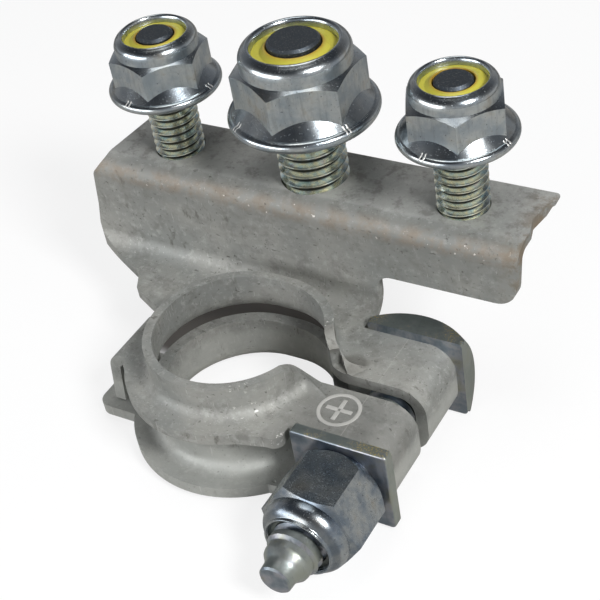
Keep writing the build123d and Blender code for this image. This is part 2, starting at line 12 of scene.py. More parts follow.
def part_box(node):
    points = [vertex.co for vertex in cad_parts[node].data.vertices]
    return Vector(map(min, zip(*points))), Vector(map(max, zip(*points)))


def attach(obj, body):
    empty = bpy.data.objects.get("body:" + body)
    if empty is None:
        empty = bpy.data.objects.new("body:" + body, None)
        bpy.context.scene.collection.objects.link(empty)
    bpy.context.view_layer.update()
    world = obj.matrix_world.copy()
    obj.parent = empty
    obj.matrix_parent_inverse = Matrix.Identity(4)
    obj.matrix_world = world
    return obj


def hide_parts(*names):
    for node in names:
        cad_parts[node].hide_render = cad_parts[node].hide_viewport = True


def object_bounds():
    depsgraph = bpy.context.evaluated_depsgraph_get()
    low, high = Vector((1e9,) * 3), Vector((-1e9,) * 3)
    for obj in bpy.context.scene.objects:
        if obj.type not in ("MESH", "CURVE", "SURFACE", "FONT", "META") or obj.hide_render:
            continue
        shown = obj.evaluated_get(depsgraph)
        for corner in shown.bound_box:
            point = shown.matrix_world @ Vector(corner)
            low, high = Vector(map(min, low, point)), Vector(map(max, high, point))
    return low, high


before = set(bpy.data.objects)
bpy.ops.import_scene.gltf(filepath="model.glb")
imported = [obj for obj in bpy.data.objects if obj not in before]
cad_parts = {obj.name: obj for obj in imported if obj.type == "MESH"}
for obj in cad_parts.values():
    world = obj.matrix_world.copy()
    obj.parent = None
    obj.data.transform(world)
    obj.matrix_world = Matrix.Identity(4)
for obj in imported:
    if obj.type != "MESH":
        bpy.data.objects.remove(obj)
cad_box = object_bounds()

MM = 0.001
CLAMP = "clamp"

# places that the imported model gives
FLANGE_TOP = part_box("clamp_body")[1].z
FLOOR_Z = cad_box[0].z
STUD_SIDES = ("left", "middle", "right")


def centre_of(node):
    """The middle of a node's box."""
    low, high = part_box(node)
    return (low + high) / 2


# ------------------------------------------------------------------------------ shader maths
class Amount:
    """A socket of a finish; arithmetic on it adds Math nodes to that finish."""

    def __init__(self, finish, socket):
        self.finish = finish
        self.socket = socket

    def maths(self, operation, first, second=0.0):
        settings = {"operation": operation}
        return self.finish.node("ShaderNodeMath", settings, {0: first, 1: second})

    def __add__(self, other):
        return self.maths("ADD", self, other)

    __radd__ = __add__

    def __mul__(self, other):
        return self.maths("MULTIPLY", self, other)

    def __sub__(self, other):
        return self.maths("SUBTRACT", self, other)

    def __rsub__(self, other):
        return self.maths("SUBTRACT", other, self)

    def __abs__(self):
        return self.maths("ABSOLUTE", self)

    def rise(self, low, high):
        """0 below low and 1 above high, smooth between; it falls where high is the lower."""
        settings = {"interpolation_type": "SMOOTHSTEP"}
        inputs = {"Value": self, "From Min": low, "From Max": high}
        return self.finish.node("ShaderNodeMapRange", settings, inputs)


class Finish:
    """A material whose pattern is worked out from the place on the piece."""

    def __init__(self, name, **fixed):
        self.material = bpy.data.materials.new(name)
        self.material.use_nodes = True
        self.tree = self.material.node_tree
        self.shader = self.tree.nodes["Principled BSDF"]
        for socket, value in fixed.items():
            self.shader.inputs[socket.replace("_", " ").title()].default_value = value
        self.place = self.node("ShaderNodeTexCoord", output="Object")
        self.normal = self.node("ShaderNodeTexCoord", output="Normal")

    def node(self, kind, settings=(), inputs=(), output=0):
        """Adds a node: its settings first, then the values or links of its sockets."""
        node = self.tree.nodes.new(kind)
        for name, value in dict(settings).items():
            if name == "stops":
                self.set_stops(node.color_ramp, value)
            else:
                setattr(node, name, value)
        for name, value in dict(inputs).items():
            self.feed(node.inputs[name], value)
        return Amount(self, node.outputs[output])

    def feed(self, socket, value):
        if isinstance(value, Amount):
            self.tree.links.new(value.socket, socket)
        else:
            socket.default_value = value

    @staticmethod
    def set_stops(ramp, stops):
        while len(ramp.elements) < len(stops):
            ramp.elements.new(1.0)
        for element, (position, colour) in zip(ramp.elements, stops):
            element.position = position
            element.color = (*colour, 1)

    def axis(self, vector, letter):
        return self.node("ShaderNodeSeparateXYZ", inputs={0: vector}, output=letter)

    def noise(self, size, detail=3.0, rough=0.55, stretch=(1, 1, 1), shift=0.0):
        """Noise with blotches of about this size, longer along an axis stretched under 1."""
        inputs = {"Vector": self.place, "Location": (shift, shift, shift), "Scale": stretch}
        place = self.node("ShaderNodeMapping", inputs=inputs)
        inputs = {"Vector": place, "Scale": 1 / size, "Detail": detail, "Roughness": rough}
        return self.node("ShaderNodeTexNoise", inputs=inputs)

    def ramp(self, amount, stops):
        return self.node("ShaderNodeValToRGB", {"stops": stops}, {0: amount})

    def mix(self, amount, first, second):
        """One colour where the amount is 0 and the other where it is 1."""
        settings = {"data_type": "RGBA"}
        colours = [c if isinstance(c, Amount) else (*c, 1) for c in (first, second)]
        inputs = {0: amount, 6: colours[0], 7: colours[1]}
        return self.node("ShaderNodeMix", settings, inputs, output=2)

    def distance_from(self, centre, flat=(1, 1, 0)):
        """Distance from an axis through the centre; flat has 0 for the axis's own direction."""
        inputs = {0: self.place, 1: tuple(centre)}
        away = self.node("ShaderNodeVectorMath", {"operation": "SUBTRACT"}, inputs)
        inputs = {0: away, 1: flat}
        away = self.node("ShaderNodeVectorMath", {"operation": "MULTIPLY"}, inputs)
        return self.node("ShaderNodeVectorMath", {"operation": "LENGTH"}, {0: away}, "Value")

    def near(self, spot, reach, core):
        """1 around a spot, given in millimetres, within its core, and 0 beyond its reach."""
        away = self.distance_from([value * MM for value in spot], flat=(1, 1, 1))
        return away.rise(reach * MM, core * reach * MM)

    def show(self, colour, roughness, height, depth):
        """Feeds the shader; height is the relief, which stands up by depth in metres."""
        self.feed(self.shader.inputs["Base Color"], colour)
        self.feed(self.shader.inputs["Roughness"], roughness)
        inputs = {"Height": height, "Distance": depth, "Strength": 1.0}
        bump = self.node("ShaderNodeBump", inputs=inputs)
        self.feed(self.shader.inputs["Normal"], bump)
        return self.material


# ------------------------------------------------------------------------------ tinned sheet
ARM_TOP = 4.5 * MM               # upper face of the arms
SCRIBE_X = 17.1 * MM             # faint line that was scribed across both arms
SCRIBE_HALF_WIDTH = 0.08 * MM
STAIN_START_X = 26 * MM          # the sheared end is stained from here on
BEND_FOOT = FLANGE_TOP - 3.4 * MM    # the top bend's rubbed band lies above this height
# painted shade over the bright facets at the end of the rear collar's lip
LIP_PAINTED_SHADE = (                  # place and reach in mm, where the rear collar's lip ends
    ((10.9, 3.2, 7.6), 2.2),
    ((13.3, 2.9, 4.8), 2.2),
)
PAINTED_SPARKLES = (                     # place and reach in mm of small spots of painted highlights
    ((5.7, -8.4, 5.1), 1.2),
    ((6.7, -7.7, 5.1), 1.2),
    ((5.6, -8.0, 8.4), 1.6),
    ((10.9, -9.9, 4.5), 1.3),
    ((10.0, 4.7, 8.4), 1.2),
)
SHEET_RELIEF = 0.035 * MM


class Sheet:
    """Dull tin on pressed brass: clouded, finely drawn, pitted, and rubbed warm on its top bend,
    with painted light, shade and highlights.
    """

    def __init__(self):
        finish = self.finish = Finish("tinned_sheet", metallic=0.55)
        self.along = finish.axis(finish.place, "X")
        self.back = finish.axis(finish.place, "Y")
        self.up = finish.axis(finish.place, "Z")
        self.level = abs(finish.axis(finish.normal, "Z")).rise(0.8, 0.97)
        self.clouds = finish.noise(2.4 * MM, 6, 0.68, shift=3.1)

    def paint(self, amount, colour):
        self.colour = self.finish.mix(amount, self.colour, colour)

    def wear(self):
        """The marks that are all over the sheet; gives the roughness and the relief."""
        noise, clouds = self.finish.noise, self.clouds
        blotches = noise(9 * MM, 4, 0.6).rise(0.36, 0.66)
        fog = noise(0.9 * MM, 5, 0.7, shift=7.7)
        grain = noise(0.2 * MM, 3, 0.6)
        drawn = noise(0.5 * MM, 4, 0.6, stretch=(0.08, 1, 1), shift=1.7)
        gouges = noise(1.1 * MM, 6, 0.7, stretch=(0.6, 1, 0.25), shift=4.4).rise(0.60, 0.70)
        nicks = noise(0.5 * MM, 2, 0.5, stretch=(0.3, 0.5, 1), shift=2.8).rise(0.70, 0.74)
        scratches = noise(0.15 * MM, 2, 0.5, stretch=(0.5, 1, 0.06)).rise(0.67, 0.72)
        pits = noise(0.42 * MM, 3, 0.6, shift=5.3).rise(0.64, 0.72)
        self.colour = self.finish.mix(blotches, (0.295, 0.305, 0.290), (0.37, 0.37, 0.345))
        self.paint(clouds.rise(0.46, 0.70) * 0.6, (0.19, 0.19, 0.175))
        self.paint(fog.rise(0.5, 0.72) * 0.6, (0.49, 0.495, 0.475))
        self.paint(drawn.rise(0.5, 0.75) * 0.18, (0.22, 0.22, 0.20))
        self.paint(gouges * 0.65, (0.12, 0.115, 0.10))
        self.paint(nicks * 0.5, (0.09, 0.085, 0.075))
        self.paint(scratches * 0.4, (0.62, 0.62, 0.60))
        self.paint(pits * 0.7, (0.085, 0.08, 0.07))
        roughness = 0.52 + blotches * 0.07 + clouds * 0.18 - scratches * 0.15 + pits * 0.1
        height = grain * 0.5 + drawn * 0.25 + clouds * 0.8 + fog * 0.7 - pits * 1.2
        height = height - gouges * 0.5 - scratches * 0.4 - nicks * 1.0
        return roughness, height

    def painted_light_and_shade(self):
        """Painted shade high on the web, on the front arm and at the end of the rear collar's lip,
        and painted light low down.
        """
        # painted shade high up on the web and bend, not on level faces
        high = self.up.rise(6 * MM, FLANGE_TOP) * (1.0 - self.level)
        self.paint(high * 0.4, (0.17, 0.17, 0.155))
        # painted shade on the front arm
        front_arm = self.back.rise(2 * MM, -3 * MM) * self.along.rise(8 * MM, 12 * MM)
        self.paint(front_arm * self.up.rise(0, 2 * MM) * 0.45, (0.15, 0.15, 0.14))
        # painted light low down on the sheet
        self.paint(self.up.rise(1.5 * MM, -0.5 * MM) * 0.4, (0.60, 0.61, 0.575))
        # painted shade where the rear collar's lip ends
        for spot, reach in LIP_PAINTED_SHADE:
            near = self.finish.near(spot, reach, 0.55)
            self.paint(near * (0.35 + self.clouds * 0.6), (0.13, 0.125, 0.11))

    def glints(self):
        """The top bend, where the brass shows through, with painted highlights on it and at a few
        small spots; gives the highlights.
        """
        finish = self.finish
        band = self.up.rise(BEND_FOOT, BEND_FOOT + 1.4 * MM)
        band = band * self.up.rise(FLANGE_TOP - 0.2 * MM, FLANGE_TOP - 1.2 * MM)
        self.paint(band * self.clouds.rise(0.38, 0.62) * 0.45, (0.33, 0.255, 0.185))
        # painted highlights in specks along the top bend
        glints = band * finish.noise(0.9 * MM, 3, 0.6, shift=9.2).rise(0.68, 0.74)
        self.paint(glints * 0.8, (0.85, 0.78, 0.70))
        # painted highlights in small specks at the listed spots
        painted_sparkle_specks = finish.noise(0.6 * MM, 3, 0.6, shift=6.6).rise(0.60, 0.66)
        for spot, reach in PAINTED_SPARKLES:
            glints = glints + finish.near(spot, reach, 0.5) * painted_sparkle_specks
        self.paint(glints * 0.7, (0.86, 0.85, 0.82))
        return glints

    def marks(self):
        """Painted light and blotches of painted shade on the flange's top, the stain at its sheared
        end and the scribed line.
        """
        up, clouds = self.up, self.clouds
        # painted light on the flange's level top
        top = up.rise(FLANGE_TOP - 0.15 * MM, FLANGE_TOP - 0.02 * MM) * self.level
        self.paint(top * 0.4, (0.56, 0.56, 0.54))
        # blotches of painted shade on the flange's top
        painted_shade_blotches = self.finish.noise(1.6 * MM, 5, 0.7, shift=1.9).rise(0.48, 0.66)
        self.paint(top * painted_shade_blotches * 0.5, (0.16, 0.155, 0.14))
        stain = self.along.rise(STAIN_START_X, STAIN_START_X + 4 * MM) * clouds.rise(0.42, 0.58)
        self.paint(stain * 0.6, (0.19, 0.135, 0.075))
        line = abs(self.along - SCRIBE_X).rise(SCRIBE_HALF_WIDTH, 0.3 * SCRIBE_HALF_WIDTH)
        line = line * up.rise(ARM_TOP - 0.1 * MM, ARM_TOP)
        line = line * up.rise(ARM_TOP + 0.2 * MM, ARM_TOP + 0.1 * MM)
        self.paint(line * 0.3, (0.56, 0.55, 0.51))

    def material(self):
        roughness, height = self.wear()
        self.painted_light_and_shade()
        glints = self.glints()
        self.marks()
        return self.finish.show(self.colour, roughness - glints * 0.35, height, SHEET_RELIEF)


# ------------------------------------------------------------------------------ plated finishes
# pairs of strokes stamped on the flange of each nut: the turn of each pair, and its reach in mm
STROKES = {
    "left": ((-98, 5.9, 6.9), (0, 5.9, 6.9)),
    "middle": ((-25, 7.6, 8.7), (-125, 7.6, 8.5)),
    "right": ((-10, 5.9, 6.9), (-100, 5.9, 6.8)),
}
STROKE_HALF_WIDTH = 0.11 * MM
STROKE_OFFSET = 0.22 * MM
STROKE_FADE = 0.1                # millimetres, at each end of a stroke
ZINC_RELIEF = 0.018 * MM


def strokes(finish, side):
    """Pairs of short strokes that point away from the nut's axis."""
    centre = centre_of(f"nut_{side}")
    x = finish.axis(finish.place, "X") - centre.x
    y = finish.axis(finish.place, "Y") - centre.y
    marks = 0.0
    for turn, start, end in STROKES[side]:
        cosine, sine = cos(radians(turn)), sin(radians(turn))
        out = x * cosine + y * sine
        across = abs(y * cosine - x * sine)
        mark = abs(across - STROKE_OFFSET).rise(STROKE_HALF_WIDTH, 0.5 * STROKE_HALF_WIDTH)
        mark = mark * out.rise((start - STROKE_FADE) * MM, start * MM)
        mark = mark * out.rise((end + STROKE_FADE) * MM, end * MM)
        marks = mark + marks
    return marks


def bright_zinc(name, deep, pale, axis, satin_share, side=None):
    """Bright zinc on a nut about this axis, satin on the hex faces, with painted shade on the
    flange's cone and, about Y, on the upward faces; a side stamps its strokes.
    """
    finish = Finish(name, metallic=1.0)
    level = abs(finish.axis(finish.normal, axis))
    waves = finish.noise(1.5 * MM, 2, 0.5)
    tint = finish.noise(2.6 * MM, 4, 0.6, shift=2.2)
    grain = finish.noise(0.12 * MM, 2, 0.5)
    smears = finish.noise(0.8 * MM, 5, 0.7, shift=6.1)
    specks = finish.noise(0.22 * MM, 2, 0.5, shift=8.8).rise(0.66, 0.72)
    scratches = finish.noise(0.13 * MM, 2, 0.5, stretch=(0.1, 1, 0.6)).rise(0.69, 0.75)
    colour = finish.mix(tint.rise(0.35, 0.62), deep, pale)
    colour = finish.mix(tint.rise(0.58, 0.74) * 0.5, colour, (0.40, 0.34, 0.25))
    colour = finish.mix(smears.rise(0.5, 0.8) * 0.45, colour, (0.20, 0.215, 0.22))
    colour = finish.mix(scratches * 0.4, colour, (0.78, 0.80, 0.82))
    colour = finish.mix(specks * 0.6, colour, (0.05, 0.05, 0.05))
    satin = level.rise(0.35, 0.1)
    brushed = finish.noise(0.35 * MM, 3, 0.6, stretch=(1, 1, 0.12), shift=5.9).rise(0.48, 0.7)
    colour = finish.mix(satin * brushed * 0.35, colour, (0.22, 0.24, 0.26))
    # painted shade on the flange's cone, a dark reflection
    cone = level.rise(0.5, 0.65) * level.rise(0.92, 0.8)
    colour = finish.mix(cone * 0.55, colour, (0.12, 0.135, 0.15))
    roughness = 0.12 + satin * satin_share + cone * 0.03 + grain * 0.08 + smears * 0.1
    roughness = roughness + specks * 0.2
    height = waves * 1.0 + grain * satin * satin_share - scratches * 0.1 - specks * 0.3
    if axis == "Y":
        # painted shade on the pinch nut's upward satin faces
        painted_shade_up = finish.axis(finish.normal, "Z").rise(0.6, 0.9) * satin
        colour = finish.mix(painted_shade_up * 0.6, colour, (0.07, 0.085, 0.09))
    if side:
        marks = strokes(finish, side) * level.rise(0.4, 0.6)
        colour = finish.mix(marks * 0.8, colour, (0.9, 0.88, 0.84))
        roughness = roughness + marks * 0.3
        height = height + marks * 1.5
    return finish.show(colour, roughness, height, ZINC_RELIEF)


GOLD_STARTS_Y = (-14 * MM, -12 * MM)     # the bolt's nose, in front of this, has no gold


def zinc_plate():
    """Iridescent zinc: navy on broad faces, painted light that makes side edges pale green, painted
    shade that makes the top dark, and gold on top.
    """
    finish = Finish("zinc_plate", metallic=1.0)
    film = finish.noise(3.2 * MM, 4, 0.6)
    grain = finish.noise(0.2 * MM, 3, 0.6)
    drawn = finish.noise(0.4 * MM, 3, 0.5, stretch=(1, 1, 0.12))
    stops = [
        (0.30, (0.14, 0.17, 0.21)),
        (0.45, (0.25, 0.29, 0.33)),
        (0.55, (0.38, 0.39, 0.43)),
        (0.66, (0.36, 0.36, 0.31)),
        (0.80, (0.18, 0.18, 0.24)),
    ]
    colour = finish.ramp(film, stops)
    side = abs(finish.axis(finish.normal, "X")).rise(0.5, 0.8)
    upper = finish.axis(finish.normal, "Z").rise(0.55, 0.85)
    # painted light: pale green on faces that look along X
    colour = finish.mix(side * 0.7, colour, (0.42, 0.46, 0.40))
    # painted shade: dark on upward faces
    colour = finish.mix(upper * 0.7, colour, (0.17, 0.19, 0.165))
    golden = upper * grain.rise(0.5, 0.62) * film.rise(0.45, 0.6)
    golden = golden * finish.axis(finish.place, "Y").rise(*GOLD_STARTS_Y)
    colour = finish.mix(golden * 0.7, colour, (0.55, 0.45, 0.16))
    colour = finish.mix(drawn.rise(0.55, 0.8) * 0.4, colour, (0.12, 0.13, 0.14))
    roughness = 0.22 + grain * 0.16 + drawn * 0.1 + upper * 0.15
    return finish.show(colour, roughness, grain * 0.5 + drawn * 0.6, ZINC_RELIEF)


# crest radius and pitch in mm
STUD_THREADS = {"left": (2.95, 1.0), "middle": (3.95, 1.25), "right": (2.95, 1.0)}
PINCH_THREAD = (2.95, 1.0)
POINT_FOOT = FLANGE_TOP + 13.0 * MM  # the studs' plain points are above this height


def thread_zinc(side):
    """Iridescent zinc on the rolled threads, dirty in patches, with painted shade in their roots,
    and dark speckled ends.
    """
    finish = Finish(f"thread_zinc_{side}", metallic=1.0)
    crest, pitch = (value * MM for value in STUD_THREADS[side])
    from_axis = finish.distance_from(centre_of(f"locking_ring_{side}"))
    root = from_axis.rise(crest - 0.36 * pitch, crest - 0.54 * pitch)
    film = finish.noise(1.1 * MM, 4, 0.6)
    grain = finish.noise(0.15 * MM, 2, 0.5)
    dirt = finish.noise(0.6 * MM, 4, 0.65, shift=3.3)
    stops = [
        (0.28, (0.45, 0.66, 0.72)),
        (0.42, (0.72, 0.82, 0.80)),
        (0.53, (0.88, 0.84, 0.64)),
        (0.60, (0.70, 0.82, 0.80)),
        (0.74, (0.70, 0.60, 0.62)),
    ]
    colour = finish.ramp(film, stops)
    colour = finish.mix(dirt.rise(0.52, 0.74) * 0.45, colour, (0.10, 0.115, 0.11))
    # painted shade in the thread's roots, near black
    colour = finish.mix(root * 0.93, colour, (0.02, 0.022, 0.02))
    point = finish.axis(finish.place, "Z").rise(POINT_FOOT, POINT_FOOT + 0.3 * MM)
    colour = finish.mix(point * 0.8, colour, (0.085, 0.10, 0.12))
    flecks = point * grain.rise(0.58, 0.68)
    colour = finish.mix(flecks * 0.5, colour, (0.35, 0.37, 0.36))
    roughness = 0.1 + grain * 0.1 + dirt * 0.1 + point * 0.1 + root * 0.2
    return finish.show(colour, roughness, grain * 0.5 + dirt * 0.5, 0.012 * MM)


def nylon(name, tone, shade, centre, inner, outer):
    """Nylon of a locking ring, with painted shade that makes it darker and warmer towards its
    opening.
    """
    finish = Finish(name, coat_weight=0.25, coat_roughness=0.15)
    away = finish.distance_from(centre)
    painted_shade_near_opening = away.rise(outer, inner)
    cloud = finish.noise(1.1 * MM, 4, 0.6)
    colour = finish.mix(painted_shade_near_opening * (0.35 + cloud * 0.9), tone, shade)
    colour = finish.mix(cloud.rise(0.55, 0.75) * 0.25, colour, shade)
    return finish.show(colour, 0.32 + cloud * 0.14, cloud, 0.04 * MM)


def sign_metal():
    """The raised sign, rubbed lighter than the sheet around it."""
    finish = Finish("sign_metal", metallic=0.2)
    cloud = finish.noise(0.7 * MM, 5, 0.65)
    fine = finish.noise(0.15 * MM, 3, 0.6)
    colour = finish.mix(cloud, (0.38, 0.375, 0.355), (0.50, 0.495, 0.47))
    colour = finish.mix(fine.rise(0.58, 0.78) * 0.35, colour, (0.28, 0.275, 0.255))
    return finish.show(colour, 0.6 + cloud * 0.14, cloud + fine * 0.5, 0.01 * MM)


# ------------------------------------------------------------------------------ modelling helpers
SMOOTH_UNDER = radians(32)       # edges under this angle are shaded smooth
WELD = 0.001 * MM                # vertices closer than this become one


def deselect_all():
    bpy.ops.object.select_all(action="DESELECT")


def take(piece):
    """Makes one object the only one that operators act on."""
    deselect_all()
    piece.select_set(True)
    bpy.context.view_layer.objects.active = piece


def settle(piece):
    """Puts a piece's place, turn and scale into its mesh, so that its object sits at the origin."""
    take(piece)
    bpy.ops.object.transform_apply(location=True, rotation=True, scale=True)


def smooth(piece):
    take(piece)
    bpy.ops.object.shade_smooth_by_angle(angle=SMOOTH_UNDER)


def copy_of(node, name):
    """A merged copy of a CAD node's mesh, as a piece of its own."""
    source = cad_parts[node]
    piece = bpy.data.objects.new(name, source.data.copy())
    bpy.context.scene.collection.objects.link(piece)
    take(piece)
    bpy.ops.mesh.customdata_custom_splitnormals_clear()
    bpy.ops.object.mode_set(mode="EDIT")
    bpy.ops.mesh.select_all(action="SELECT")
    bpy.ops.mesh.remove_doubles(threshold=WELD)
    bpy.ops.object.mode_set(mode="OBJECT")
    return piece


def dress(piece, material):
    piece.data.materials.clear()
    piece.data.materials.append(material)


# ------------------------------------------------------------------------------ cut threads
THREAD_STEPS = 40                # facets in one turn
GROOVE_DEPTH = 0.60              # of the pitch
ROOT_HALF_WIDTH = 0.09           # of the pitch
CREST_HALF_WIDTH = 0.435         # of the pitch
OVERSHOOT = 0.05                 # of the pitch, how far the tool stands out of the crest
RING_STEPS = 72                  # facets round a locking ring


def thread_tool(crest_radius, pitch, turns):
    """A right-hand helix of the groove's section, from the origin up along Z."""
    deselect_all()
    bpy.ops.mesh.primitive_plane_add(size=pitch, location=(0, 0, 0), rotation=(pi / 2, 0, 0))
    tool = bpy.context.object
    settle(tool)
    root = crest_radius - GROOVE_DEPTH * pitch
    outside = crest_radius + OVERSHOOT * pitch
    outside_half = (CREST_HALF_WIDTH + OVERSHOOT * tan(radians(30))) * pitch
    for vertex in tool.data.vertices:
        inner = vertex.co.x < 0
        half = ROOT_HALF_WIDTH * pitch if inner else outside_half
        vertex.co.x = root if inner else outside
        vertex.co.z = half if vertex.co.z > 0 else -half
    bpy.ops.object.mode_set(mode="EDIT")
    bpy.ops.mesh.select_all(action="SELECT")
    bpy.ops.mesh.delete(type="ONLY_FACE")
    bpy.ops.object.mode_set(mode="OBJECT")
    screw = tool.modifiers.new("turns", "SCREW")
    screw.axis = "Z"
    screw.steps = THREAD_STEPS
    screw.render_steps = THREAD_STEPS
    screw.screw_offset = pitch
    screw.iterations = turns
    bpy.ops.object.modifier_apply(modifier=screw.name)
    bpy.ops.object.mode_set(mode="EDIT")
    bpy.ops.mesh.select_all(action="SELECT")
    bpy.ops.mesh.remove_doubles(threshold=WELD)
    bpy.ops.mesh.select_all(action="SELECT")
    bpy.ops.mesh.fill_holes(sides=4)
    bpy.ops.mesh.select_all(action="SELECT")
    bpy.ops.mesh.normals_make_consistent(inside=False)
    bpy.ops.object.mode_set(mode="OBJECT")
    return tool


def section(points):
    """A closed outline through these points, given in millimetres across and up, to be spun."""
    deselect_all()
    bpy.ops.mesh.primitive_circle_add(vertices=len(points), radius=1, fill_type="NOTHING")
    outline = bpy.context.object
    for vertex, (across, height) in zip(outline.data.vertices, points):
        vertex.co = (across * MM, 0, height * MM)
    return outline


def spin(piece, steps):
    """Turns a section in the XZ plane once about Z."""
    take(piece)
    turn = piece.modifiers.new("turn", "SCREW")
    turn.axis = "Z"
    turn.steps = steps
    turn.render_steps = steps
    turn.use_merge_vertices = True
    turn.merge_threshold = WELD
    bpy.ops.object.modifier_apply(modifier=turn.name)
    bpy.ops.object.mode_set(mode="EDIT")
    bpy.ops.mesh.select_all(action="SELECT")
    bpy.ops.mesh.normals_make_consistent(inside=False)
    bpy.ops.object.mode_set(mode="OBJECT")


def take_away(piece, tool):
    """Takes the tool's shape out of the piece."""
    take(piece)
    cut = piece.modifiers.new("cut", "BOOLEAN")
    cut.operation = "DIFFERENCE"
    cut.solver = "EXACT"
    cut.object = tool
    bpy.ops.object.modifier_apply(modifier=cut.name)
    bpy.data.objects.remove(tool)


# the turned end of the pinch bolt: radius and place along Y in mm, from the thread to the axis
NOSE = [
    (2.62, -20.1), (2.62, -20.7), (2.5, -21.2), (2.05, -21.75),
    (1.85, -22.2), (1.8, -23.2), (1.6, -23.4), (0, -23.4),
]
NOSE_STEPS = 64                  # facets round the nose
NOSE_CUT_REACH = 4               # millimetres, past the bolt's own radius


def turned_away(profile, reach):
    """A ring about Z with this inner profile of (radius, height) pairs, out to the reach."""
    low = profile[-1][1] - reach
    cutter = section(profile + [(0, low), (reach, low), (reach, profile[0][1])])
    spin(cutter, NOSE_STEPS)
    return cutter


THREAD_FOOT = 0.8 * MM           # the stud's thread starts this far inside the flange
PINCH_THREAD_FROM_Y = 5.6 * MM
PINCH_THREAD_TO_Y = -19.4 * MM


def threaded_stud(side, material):
    radius, pitch = (value * MM for value in STUD_THREADS[side])
    name = f"stud_{side}"
    piece = copy_of(name, f"threaded_{name}")
    axis = centre_of(f"locking_ring_{side}")
    foot = FLANGE_TOP - THREAD_FOOT
    turns = int((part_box(name)[1].z - foot) / pitch) + 2
    tool = thread_tool(radius, pitch, turns)
    tool.location = (axis.x, axis.y, foot)
    settle(tool)
    take_away(piece, tool)
    smooth(piece)
    dress(piece, material)
    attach(piece, CLAMP)
    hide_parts(name)


# the edge that the thread has turned up inside a nylon ring, in mm
LIP_RISES = {"left": 0.35, "middle": 0.6, "right": 0.4}    # over the ring's top
LIP_THICKNESS = 0.55
LIP_FOOT = 0.75                  # from the opening to the outer foot of the turned-up edge
LIP_WIDTH = 0.2                  # at the edge's top
CLEAR_OF_THREAD = 0.05


def bitten_ring(side, opening, material):
    """The nylon ring, whose upper edge stands in over the thread and up round the stud's point."""
    name = f"locking_ring_{side}"
    low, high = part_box(name)
    axis = centre_of(name)
    outer = (high.x - low.x) / 2 / MM
    clear = STUD_THREADS[side][0] + CLEAR_OF_THREAD
    foot, top = low.z / MM, high.z / MM
    lip = top + LIP_RISES[side]
    points = [(clear, foot), (outer, foot), (outer, top), (opening + LIP_FOOT, top)]
    points += [(opening + LIP_WIDTH, lip), (opening, lip)]
    points += [(opening, top - LIP_THICKNESS), (clear, top - 1.6 * LIP_THICKNESS)]
    ring = section(points)
    ring.name = f"bitten_ring_{side}"
    spin(ring, RING_STEPS)
    bevel = ring.modifiers.new("edge", "BEVEL")
    bevel.width = 0.08 * MM
    bevel.segments = 2
    bevel.limit_method = "ANGLE"
    bpy.ops.object.modifier_apply(modifier=bevel.name)
    ring.location = (axis.x, axis.y, 0)
    settle(ring)
    smooth(ring)
    dress(ring, material)
    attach(ring, f"{side}_nut_travel_body")
    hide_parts(name)


def threaded_pinch_bolt(material):
    radius, pitch = (value * MM for value in PINCH_THREAD)
    piece = copy_of("pinch_bolt", "threaded_pinch_bolt")
    axis = centre_of("pinch_locking_ring")
    turns = int((PINCH_THREAD_FROM_Y - PINCH_THREAD_TO_Y) / pitch)
    tool = thread_tool(radius, pitch, turns)
    tool.rotation_euler = (pi / 2, 0, 0)
    tool.location = (axis.x, PINCH_THREAD_FROM_Y, axis.z)
    settle(tool)
    take_away(piece, tool)
    nose = turned_away(NOSE, NOSE_CUT_REACH)
    nose.rotation_euler = (-pi / 2, 0, 0)
    nose.location = (axis.x, 0, axis.z)
    settle(nose)
    take_away(piece, nose)
    smooth(piece)
    dress(piece, material)
    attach(piece, CLAMP)
    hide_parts("pinch_bolt")


# ------------------------------------------------------------------------------ polarity sign
SIGN_CENTRE = (15.15 * MM, -3.8 * MM)
SIGN_RADIUS = 2.45 * MM
SIGN_BAND = 0.42 * MM
SIGN_STEPS = 64
SIGN_EDGE = 0.05 * MM            # rounding of its upper edges
SIGN_HEIGHT = 0.07 * MM          # it stands this far out of the arm
SIGN_SUNK = 0.05 * MM
BAR_LENGTH = 1.4 * MM
BAR_WIDTH = 0.5 * MM
BAR_GAP = 0.15 * MM              # between the sign's middle and each bar


def raise_face(piece):
    """Gives a flat outline its height and rounds its upper edge."""
    bpy.ops.object.mode_set(mode="EDIT")
    bpy.ops.mesh.select_all(action="SELECT")
    move = {"value": (0, 0, SIGN_HEIGHT + SIGN_SUNK)}
    bpy.ops.mesh.extrude_region_move(TRANSFORM_OT_translate=move)
    bpy.ops.mesh.select_all(action="SELECT")
    bpy.ops.mesh.normals_make_consistent(inside=False)
    bpy.ops.object.mode_set(mode="OBJECT")
    bevel = piece.modifiers.new("edge", "BEVEL")
    bevel.width = SIGN_EDGE
    bevel.segments = 2
    bevel.limit_method = "ANGLE"
    bpy.ops.object.modifier_apply(modifier=bevel.name)


def sign_ring():
    deselect_all()
    place = (*SIGN_CENTRE, ARM_TOP - SIGN_SUNK)
    shape = {"vertices": SIGN_STEPS, "radius": SIGN_RADIUS, "fill_type": "NGON"}
    bpy.ops.mesh.primitive_circle_add(location=place, **shape)
    ring = bpy.context.object
    bpy.ops.object.mode_set(mode="EDIT")
    bpy.ops.mesh.select_all(action="SELECT")
    bpy.ops.mesh.inset(thickness=SIGN_BAND)
    bpy.ops.mesh.delete(type="FACE")
    bpy.ops.object.mode_set(mode="OBJECT")
    raise_face(ring)
    return ring


